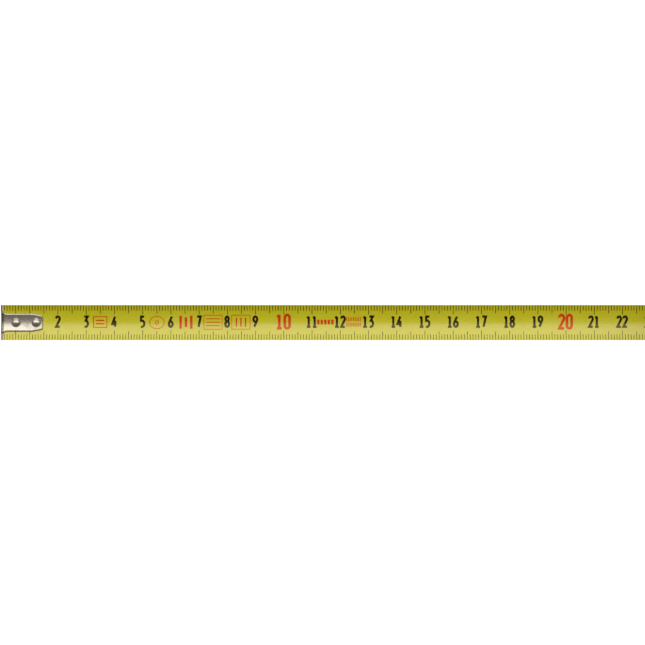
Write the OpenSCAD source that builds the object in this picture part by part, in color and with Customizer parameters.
// Pocket tape measure: curved steel blade, end hook, reel with its spring, lock and two-shell case.
// The blade is pulled out along -X. The origin is the middle of the case's flat base.

/* [Blade] */
// Width of the steel strip, measured along its curve
blade_w = 12.7; // [12:0.1:13]
// Thickness of the strip with its coating
blade_t = 0.14; // [0.12:0.01:0.16]
// Radius of the strip's hollow upper face
blade_r = 15; // [14:0.5:18]
// Height of the strip's lowest line (upper face) above the base
blade_z = 7.4; // [7.3:0.1:7.5]
// Length of blade pulled out, from the scale's zero to the front of the case
pulled_out = 240; // [120:10:300]
// Pitch of the wound blade on its drum
wind_pitch = 0.2; // [0.2:0.01:0.22]
// Whole turns of blade wound on the drum
wind_turns = 25; // [15:1:25]

/* [Hook] */
// Thickness of the hook's steel, which is also how far it slides
hook_t = 0.5; // [0.4:0.05:0.6]
// Width of the hook's down-turned leg
hook_w = 12.6; // [11:0.1:13]
// Length of the hook's tongue from the scale's zero
hook_len = 14.6; // [14:0.1:15.5]
// Height of the leg's lower edge above the base
hook_foot_z = 1; // [0.8:0.1:2]
// Distance from zero to the first rivet
rivet_a = 5.1; // [5:0.1:5.5]
// Distance from zero to the second rivet
rivet_b = 12.3; // [12:0.1:12.5]
// Radius of a rivet's head
rivet_head_r = 1.63; // [1.5:0.01:1.7]

/* [Case] */
// Length of the case along the blade
case_len = 60; // [60:1:62]
// Height of the case
case_h = 56; // [56:1:58]
// Width of the case without its clip
case_w = 24; // [24:0.5:26]
// Thickness of the case's walls
wall = 2.2; // [2:0.1:2.4]
// Radius of the case's front top corner
front_top_r = 10; // [9:0.5:11]
// Radius of the case's rear top corner
rear_top_r = 16; // [15:0.5:17]
// How far the rubber grip stands out of the case
grip_out = 0.6; // [0.4:0.1:0.8]

/* [Reel] */
// Distance of the reel's axis behind the middle of the case
reel_x = 2; // [1.5:0.5:2.5]
// Height of the reel's axis above the base
reel_z = 29.5; // [29.5:0.5:30]
// Outer radius of the drum
drum_r = 15; // [14.5:0.1:15]
// Radius of the reel's flanges
flange_r = 21.5; // [21:0.1:21.8]
// Radius of the fixed post that the reel turns on
arbor_r = 3; // [2.5:0.1:3.2]

/* [Lock] */
// Travel of the lock from braked to free
lock_travel = 7; // [5:0.5:7]

/* [Belt clip] */
// Width of the clip's steel strip
clip_w = 12; // [10:1:14]
// Clear gap between the clip and the case
clip_gap = 4.6; // [4.5:0.1:5]

/* [Hidden] */
$fn = 96;
eps = 0.01;
big = 200;
half_w = case_w / 2;
front_x = -case_len / 2;
rear_x = case_len / 2;
front_low_r = 3;
rear_low_r = 4;
inner_half_w = half_w - wall;

// Blade
zero_x = front_x - pulled_out;
blade_axis_z = blade_z + blade_r;
blade_half_angle = blade_w / 2 / blade_r * 180 / PI;
// The hook's leg comes within this of the blade's end when the hook is pushed in
blade_end_gap = 0.05;
blade_end_x = zero_x + hook_t + blade_end_gap;
blade_low_z = blade_z - blade_t;
shank_r = 1;
rivet_hole_r = shank_r + 0.02;
dome_h = 1;
dome_r = (rivet_head_r * rivet_head_r + dome_h * dome_h) / 2 / dome_h;
clinch_t = 0.4;

// Hook
// The tongue floats just above the blade
tongue_lift = 0.04;
tongue_r = blade_r - tongue_lift;
tongue_top_r = tongue_r - hook_t;
tongue_w = 6.5;
tongue_tip_w = 4.9;
tongue_taper_x = 11;
neck_w = 7.8;
neck_len = 0.7;
neck_flare = 0.9;
leg_corner_r = 2;
bend_r = 0.8;
slot_r = shank_r + 0.05;

// Mouth, bumper and lock openings in the front wall
mouth_half_w = 6.9;
mouth_low_z = 6.9;
mouth_top_z = 9.9;
mouth_block = 4.5;
bumper_half_w = 5.5;
bumper_low_z = 1.2;
bumper_top_z = 5.6;
bumper_depth = 1.2;
stem_half_w = 3.4;
stem_low_z = 24;
stem_h = 8;
slot_play = 0.3;
tongue_half_w = 4.6;
rail_play = 0.3;
rail_lip_t = 1.2;
lock_back_x = front_x + wall + slot_play;
lock_t = 2.9;
lock_foot_t = 4.6;
lock_low_z = 9.6;
lock_foot_top_z = 13;
lock_top_z = 39.6;
rail_low_z = [22, 34];
rail_h = 5;
pad_gap = 0.13;

// Reel
flange_t = 0.8;
drum_half_w = 6.6;
drum_wall = 1.4;
coil_half_w = 6.35;
tail_half_w = 4;
arbor_half_len = inner_half_w - 0.2;
arbor_boss_r = arbor_r + 2.2;
arbor_play = 0.06;
window_at_r = 9;
window_r = 2.6;
arbor_slot = 0.7;
flange_outer_y = drum_half_w + flange_t;
boss_face_y = flange_outer_y + 0.3;
spring_t = 0.25;
spring_pitch = 0.9;
spring_turns = 11.5;
spring_in_r = arbor_r + 0.3;

// Screws: x and z of the four case screws, clear of the reel and of the blade
screw_at = [[front_x + 10, case_h - 7], [rear_x - 8.7, case_h - 8.7],
    [rear_x - 5.2, 13.5], [front_x + 12, 3.6]];
boss_r = 2.7;
pilot_r = 1.1;
clear_r = 1.35;
head_r = 2.3;
head_t = 1.2;
head_sink_r = 2.6;
head_sink = 1.4;
cross_len = 2.6;
cross_w = 0.6;
cross_deep = 0.7;

// Lanyard hole, grip and badge
lanyard_x = rear_x - 4.4;
lanyard_z = 3.8;
lanyard_r = 1.5;
lanyard_wall = 1.4;
grip_in = 0.8;
grip_half_w = 8.5;
grip_front_x = -16;
grip_low_z = 9;
badge_r = 16;
badge_t = 0.6;
badge_sink = 0.4;
badge_rim = 1.4;
badge_ring = 3;
badge_ring_deep = 0.25;

// Belt clip
clip_t = 1;
clip_foot_low_z = 40;
clip_top_z = 50;
clip_screw_z = 46;
clip_bend_z = 35;
clip_low_z = 16;
clip_pinch_z = 12;
clip_end_z = 7;
clip_pinch_gap = 2.2;

// Case outline seen from the side, drawn inwards by d: x is the length, y the height
module outline(d) {
    difference() {
        translate([front_x + d, d]) square([case_len - 2 * d, case_h - 2 * d]);
        corner_cut(front_x + d, case_h - d, 1, -1, front_top_r - d);
        corner_cut(rear_x - d, case_h - d, -1, -1, rear_top_r - d);
        corner_cut(rear_x - d, d, -1, 1, rear_low_r - d);
        corner_cut(front_x + d, d, 1, 1, front_low_r - d);
    }
}

// What a rounded corner of radius r leaves over, at corner x, y, with the body towards sx, sy
module corner_cut(x, y, sx, sy, r) {
    if (r > 0) {
        translate([x, y]) face_towards(sx, sy) difference() {
            translate([-1, -1]) square(r + 1);
            translate([r, r]) circle(r);
        }
    }
}

// Mirrors its children so that they face towards sx, sy
module face_towards(sx, sy) {
    mirror([sx < 0 ? 1 : 0, 0]) mirror([0, sy < 0 ? 1 : 0]) children();
}

// Stands a side-view outline up, from y0 to y1
module upright(y0, y1) {
    translate([0, y1, 0]) rotate([90, 0, 0]) linear_extrude(y1 - y0) children();
}

// Cylinder along Y, at x, z, from y0 to y1
module y_rod(x, z, r, y0, y1) {
    translate([x, y1, z]) rotate([90, 0, 0]) cylinder(r = r, h = y1 - y0);
}

// Strip curved across its width like the blade, from x0 to x1, between two radii
module curved_strip(x0, x1, r_in, r_out, half_angle) {
    reach = 2 * r_out;
    translate([x0, 0, blade_axis_z]) rotate([90, 0, 90]) linear_extrude(x1 - x0) intersection() {
        difference() {
            circle(r_out);
            circle(r_in);
        }
        polygon([[0, 0], [reach * sin(half_angle), -reach * cos(half_angle)],
            [0, -2 * reach], [-reach * sin(half_angle), -reach * cos(half_angle)]]);
    }
}

// One half of the case on the side given by s: -1 is the left, +1 the right
module shell(s) {
    y0 = s < 0 ? -half_w : 0;
    y1 = s < 0 ? 0 : half_w;
    side0 = s < 0 ? -half_w : inner_half_w;
    difference() {
        union() {
            difference() {
                upright(y0, y1) outline(0);
                upright(s < 0 ? -inner_half_w : -1, s < 0 ? 1 : inner_half_w) outline(wall);
            }
            // Floor of the mouth, four screw bosses and the boss that holds the arbor
            intersection() {
                upright(y0, y1) outline(0);
                union() {
                    translate([front_x, y0, 0]) cube([mouth_block, half_w, mouth_low_z]);
                    for (p = screw_at) y_rod(p[0], p[1], boss_r, y0, y1);
                    y_rod(lanyard_x, lanyard_z, lanyard_r + lanyard_wall, y0, y1);
                    translate([lanyard_x, y0, 0]) cube([rear_x - lanyard_x, half_w, 4]);
                }
            }
            y_rod(reel_x, reel_z, arbor_boss_r, s < 0 ? -half_w : boss_face_y, s < 0 ? -boss_face_y : half_w);
            // Channel that the lock's tongue runs in
            for (z = rail_low_z) lock_rail(s, z);
        }
        // Openings: mouth, lock slot, bumper seat, arbor hole, lanyard hole
        translate([front_x - 1, -mouth_half_w, mouth_low_z])
            cube([mouth_block + 2, 2 * mouth_half_w, mouth_top_z - mouth_low_z]);
        translate([front_x - 1, -stem_half_w - slot_play, stem_low_z - slot_play])
            cube([wall + 2, 2 * (stem_half_w + slot_play), stem_h + lock_travel + 2 * slot_play]);
        translate([front_x - 1, -bumper_half_w, bumper_low_z])
            cube([bumper_depth + 1, 2 * bumper_half_w, bumper_top_z - bumper_low_z]);
        y_rod(reel_x, reel_z, arbor_r, -arbor_half_len, arbor_half_len);
        y_rod(lanyard_x, lanyard_z, lanyard_r, -half_w - 1, half_w + 1);
        grip_ring(y0, y1, 0.01, grip_half_w);
        if (s < 0) {
            for (p = screw_at) y_rod(p[0], p[1], pilot_r, -half_w + wall, 1);
            y_rod(reel_x, reel_z, badge_r + 0.1, -half_w - 1, -half_w + badge_sink);
        } else {
            for (p = screw_at) {
                y_rod(p[0], p[1], clear_r, -1, half_w + 1);
                y_rod(p[0], p[1], head_sink_r, half_w - head_sink, half_w + 1);
            }
            y_rod(reel_x, clip_screw_z, pilot_r, inner_half_w - 1, half_w + 1);
        }
    }
}

// Rib beside the tongue, and a lip on it that reaches behind the tongue
module lock_rail(s, z) {
    rib_y = tongue_half_w + rail_play;
    rib_w = inner_half_w + 1 - rib_y;
    rib_x = front_x + wall - 1;
    lip_x = lock_back_x + lock_t + rail_play;
    translate([rib_x, s < 0 ? -inner_half_w - 1 : rib_y, z]) cube([lip_x + rail_lip_t - rib_x, rib_w, rail_h]);
    translate([lip_x, s < 0 ? -rib_y - 1 : rib_y - rail_lip_t, z]) cube([rail_lip_t, 1 + rail_lip_t, rail_h]);
}

// Band around the top and rear of the case; gap widens it on its inner side
module grip_ring(y0, y1, gap, reach) {
    a = max(y0, -reach);
    b = min(y1, reach);
    upright(a, b) intersection() {
        difference() {
            outline(-grip_out);
            outline(grip_in + gap);
        }
        union() {
            translate([grip_front_x, case_h - 12]) square([big, 20]);
            translate([rear_x - 8, grip_low_z]) square([big, big]);
        }
    }
}

module case_shell_left() { color("#33363b") shell(-1); }
module case_shell_right() { color("#2b2e33") shell(1); }

module grip_left() { color("#d8c51e") grip_ring(-half_w, 0, 0, grip_half_w); }
module grip_right() { color("#d0bd1c") grip_ring(0, half_w, 0, grip_half_w); }

// Rubber block below the mouth that the hook lands on
module hook_bumper() {
    color("#1c1c1e") translate([front_x - 0.6, -bumper_half_w, bumper_low_z])
        cube([bumper_depth + 0.6, 2 * bumper_half_w, bumper_top_z - bumper_low_z]);
}

// Round plate glued in a shallow seat, with a sunken ring inside its rim
module face_badge() {
    back_y = -half_w + badge_sink;
    face_y = back_y - badge_t;
    color("#c9ccd0") difference() {
        y_rod(reel_x, reel_z, badge_r, face_y, back_y);
        difference() {
            y_rod(reel_x, reel_z, badge_r - badge_rim, face_y - 1, face_y + badge_ring_deep);
            y_rod(reel_x, reel_z, badge_r - badge_rim - badge_ring, face_y - 2, back_y + 1);
        }
    }
}

// Steel strip: foot on the case, ramp, long leg, and a lip that turns in and out again
module belt_clip() {
    gap_y = half_w + clip_gap;
    color("#b9bcc0") difference() {
        translate([reel_x - clip_w / 2, 0, 0]) rotate([90, 0, 90]) linear_extrude(clip_w) polygon([
            [half_w, clip_top_z], [half_w, clip_foot_low_z], [gap_y, clip_bend_z],
            [gap_y, clip_low_z], [half_w + clip_pinch_gap, clip_pinch_z], [gap_y, clip_end_z],
            [gap_y + clip_t, clip_end_z], [half_w + clip_pinch_gap + clip_t + 0.35, clip_pinch_z],
            [gap_y + clip_t, clip_low_z - 0.2], [gap_y + clip_t, clip_bend_z + 0.4],
            [half_w + clip_t, clip_foot_low_z + 0.6], [half_w + clip_t, clip_top_z]]);
        y_rod(reel_x, clip_screw_z, clear_r, half_w - 1, half_w + clip_t + 1);
    }
}

// Screw along Y: head face at y1, shank towards -Y, crossed recess in the head
module screw(x, z, y1, shank_end) {
    difference() {
        union() {
            y_rod(x, z, head_r, y1 - head_t, y1);
            y_rod(x, z, pilot_r, shank_end, y1 - head_t + eps);
        }
        for (turn = [0, 90]) translate([x, y1, z]) rotate([0, turn, 0])
            cube([cross_len, 2 * cross_deep, cross_w], center = true);
    }
}

module case_screws() {
    color("#8e9196") for (p = screw_at) screw(p[0], p[1], half_w - head_sink + head_t, -6);
}

module clip_screw() {
    color("#8e9196") screw(reel_x, clip_screw_z, half_w + clip_t + head_t, inner_half_w - 1.6);
}

// Fixed post with a slot for the spring's inner end
module spring_arbor() {
    color("#a9abae") difference() {
        y_rod(reel_x, reel_z, arbor_r, -arbor_half_len, arbor_half_len);
        translate([reel_x - arbor_r - 1, -coil_half_w, reel_z - arbor_slot / 2])
            cube([2 * arbor_r + 2, 2 * coil_half_w, arbor_slot]);
    }
}

// Two-centre spiral, wound clockwise as seen from the left: every half turn is half a ring,
// half a pitch larger than the one before. It starts behind the axis.
module spiral(r0, pitch, t, turns, half_width) {
    upright_spiral(half_width) for (i = [0:2 * turns - 1]) half_ring(i, r0 + i * pitch / 2, pitch, t);
}

module upright_spiral(half_width) {
    translate([reel_x, half_width, reel_z]) rotate([90, 0, 0])
        linear_extrude(2 * half_width) mirror([0, 1]) children();
}

// Half ring number i of a spiral; even ones lie on the side where the spiral starts
module half_ring(i, r, pitch, t) {
    even = i % 2 == 0;
    translate([even ? 0 : pitch / 2, 0]) intersection() {
        difference() {
            circle(r + t);
            circle(r);
        }
        translate([-big, even ? 0 : -big]) square([2 * big, big]);
    }
}

// Spiral spring: its inner end sits in the arbor's slot, its outer end in the drum's front slot
module power_spring() {
    half_width = coil_half_w - 0.4;
    end_r = spring_in_r + (2 * spring_turns - 1) * spring_pitch / 2;
    color("#5f6368") {
        spiral(spring_in_r, spring_pitch, spring_t, spring_turns, half_width);
        translate([reel_x, -half_width, reel_z - spring_t]) cube([spring_in_r + spring_t, 2 * half_width, spring_t]);
        translate([reel_x - end_r - 1.3, -half_width, reel_z - spring_t]) cube([1.3 + eps, 2 * half_width, spring_t]);
    }
}

// Tube that the blade winds on, with a slot in front for the spring and one behind for the blade's tail
module reel_drum() {
    color("#e6e6e2") difference() {
        y_rod(reel_x, reel_z, drum_r, -drum_half_w, drum_half_w);
        y_rod(reel_x, reel_z, drum_r - drum_wall, -drum_half_w - 1, drum_half_w + 1);
        translate([reel_x - drum_r - 1, -coil_half_w, reel_z - 0.5]) cube([drum_wall + 2, 2 * coil_half_w, 0.7]);
        translate([reel_x + drum_r - drum_wall - 1, -tail_half_w - 0.2, reel_z - 0.5])
            cube([drum_wall + 2, 2 * tail_half_w + 0.4, 0.7]);
    }
}

module flange(y0, y1) {
    difference() {
        y_rod(reel_x, reel_z, flange_r, y0, y1);
        y_rod(reel_x, reel_z, arbor_r + arbor_play, y0 - 1, y1 + 1);
        for (a = [0:60:300])
            y_rod(reel_x + window_at_r * cos(a), reel_z + window_at_r * sin(a), window_r, y0 - 1, y1 + 1);
    }
}

module reel_flange_left() { color("#dcdcd8") flange(-flange_outer_y, -drum_half_w); }
module reel_flange_right() { color("#dcdcd8") flange(drum_half_w, flange_outer_y); }

// Wound part of the blade. Its tail goes through the drum, and its last quarter turn ends at the
// bottom of the coil, where the straight part carries on.
module blade_coil() {
    in_r = drum_r + 0.02;
    color("#c9c02a") {
        spiral(in_r, wind_pitch, blade_t, wind_turns, coil_half_w);
        upright_spiral(coil_half_w) intersection() {
            half_ring(0, in_r + wind_turns * wind_pitch, wind_pitch, blade_t);
            square(big);
        }
        translate([reel_x + in_r - 1.1, -tail_half_w, reel_z - blade_t]) cube([1.1 + eps, 2 * tail_half_w, blade_t]);
    }
}

// The straight part of the blade, from its hooked end to where it meets the coil
module blade_strip() {
    color("#d2ca2e") difference() {
        curved_strip(blade_end_x, reel_x, blade_r, blade_r + blade_t, blade_half_angle);
        for (x = [rivet_a, rivet_b]) translate([zero_x + x, 0, blade_low_z - 1])
            cylinder(r = rivet_hole_r, h = 3);
    }
}

// Domed head on the tongue, shank through tongue and blade, flange clinched under the blade
module rivet(x) {
    top_z = blade_axis_z - tongue_top_r;
    translate([zero_x + x, 0, 0]) {
        difference() {
            intersection() {
                translate([0, 0, top_z + dome_h - dome_r]) sphere(dome_r);
                translate([0, 0, top_z - 0.4]) cylinder(r = rivet_head_r, h = 2);
            }
            difference() {
                translate([-5, -5, top_z - 2]) cube([10, 10, 4]);
                translate([-6, 0, blade_axis_z]) rotate([0, 90, 0]) cylinder(r = tongue_top_r - 0.04, h = 12);
            }
        }
        translate([0, 0, blade_low_z - 0.3]) cylinder(r = shank_r, h = top_z - blade_low_z + 0.6);
        difference() {
            translate([0, 0, blade_low_z - clinch_t]) cylinder(r = rivet_head_r - 0.1, h = clinch_t + 0.2);
            translate([-6, 0, blade_axis_z]) rotate([0, 90, 0]) cylinder(r = blade_r + blade_t, h = 12);
        }
    }
}

module hook_rivets() { color("#d9d4c6") for (x = [rivet_a, rivet_b]) rivet(x); }

// Slotted hole, so that the hook can slide by its own thickness
module hook_slot(x) {
    for (d = [-hook_t / 2, hook_t / 2]) translate([zero_x + x + d, 0, blade_z - 1]) cylinder(r = slot_r, h = 4);
    translate([zero_x + x - hook_t / 2, -slot_r, blade_z - 1]) cube([hook_t, 2 * slot_r, 4]);
}

module end_hook() {
    x0 = zero_x - hook_t / 2;
    neck_top_z = blade_z + tongue_lift + hook_t / 2;
    bend_z = blade_axis_z - tongue_top_r - bend_r;
    color("#d5d0c2") difference() {
        union() {
            intersection() {
                curved_strip(x0, zero_x + hook_len, tongue_top_r, tongue_r, 30);
                translate([0, 0, blade_z - 1]) linear_extrude(5) polygon([
                    [x0, -neck_w / 2], [x0 + neck_len, -neck_w / 2],
                    [x0 + neck_len + neck_flare, -tongue_w / 2],
                    [zero_x + tongue_taper_x, -tongue_w / 2], [zero_x + hook_len, -tongue_tip_w / 2],
                    [zero_x + hook_len, tongue_tip_w / 2], [zero_x + tongue_taper_x, tongue_w / 2],
                    [x0 + neck_len + neck_flare, tongue_w / 2], [x0 + neck_len, neck_w / 2], [x0, neck_w / 2]]);
            }
            translate([x0, 0, 0]) rotate([90, 0, 90]) linear_extrude(hook_t) difference() {
                // Its top edge runs level with the blade beside the neck
                translate([-hook_w / 2, hook_foot_z]) square([hook_w, blade_axis_z - hook_foot_z]);
                difference() {
                    translate([0, blade_axis_z]) circle(blade_r + blade_t);
                    translate([-neck_w / 2, 0]) square([neck_w, neck_top_z]);
                }
                for (s = [1, -1]) face_towards(s, 1) corner_cut(-hook_w / 2, hook_foot_z, 1, 1, leg_corner_r);
            }
        }
        for (x = [rivet_a, rivet_b]) hook_slot(x);
        // Rounded outer side of the bend
        difference() {
            translate([x0 - 1, -neck_w / 2, bend_z]) cube([1 + bend_r, neck_w, 4]);
            translate([x0 + bend_r, big / 2, bend_z]) rotate([90, 0, 0]) cylinder(r = bend_r, h = big);
        }
    }
}

// Ribbed thumb piece outside the front wall, with the stem that goes through its slot
module lock_button() {
    cap_t = 2.6;
    cap_x = front_x - 0.3 - cap_t;
    color("#d8402a") {
        difference() {
            union() {
                translate([cap_x, -6, stem_low_z - 2]) cube([cap_t, 12, stem_h + 4]);
                translate([cap_x - 1.6, -6, stem_low_z - 2]) cube([1.6 + eps, 12, 3]);
            }
            for (z = [4:1.8:10]) translate([cap_x - 0.5, -7, stem_low_z - 2 + z]) cube([1, 14, 0.8]);
        }
        translate([front_x - 0.3 - eps, -stem_half_w, stem_low_z])
            cube([lock_back_x - front_x + 0.3 + eps, 2 * stem_half_w, stem_h]);
    }
}

// Plate behind the front wall, thicker at its foot
module lock_tongue() {
    color("#222326") {
        translate([lock_back_x, -tongue_half_w, lock_low_z])
            cube([lock_t, 2 * tongue_half_w, lock_top_z - lock_low_z]);
        translate([lock_back_x, -tongue_half_w, lock_low_z])
            cube([lock_foot_t, 2 * tongue_half_w, lock_foot_top_z - lock_low_z]);
    }
}

// Rubber shoe whose round underside matches the blade's hollow
module brake_pad() {
    color("#141416") intersection() {
        translate([lock_back_x, -tongue_half_w, blade_z - 1])
            cube([lock_foot_t, 2 * tongue_half_w, lock_low_z - blade_z + 1]);
        translate([lock_back_x - 1, 0, blade_axis_z]) rotate([0, 90, 0])
            cylinder(r = blade_r - pad_gap, h = lock_foot_t + 2);
    }
}

case_shell_left();
case_shell_right();
grip_left();
grip_right();
hook_bumper();
face_badge();
belt_clip();
clip_screw();
case_screws();
spring_arbor();
power_spring();
reel_drum();
reel_flange_left();
reel_flange_right();
blade_coil();
blade_strip();
hook_rivets();
end_hook();
lock_button();
lock_tongue();
brake_pad();
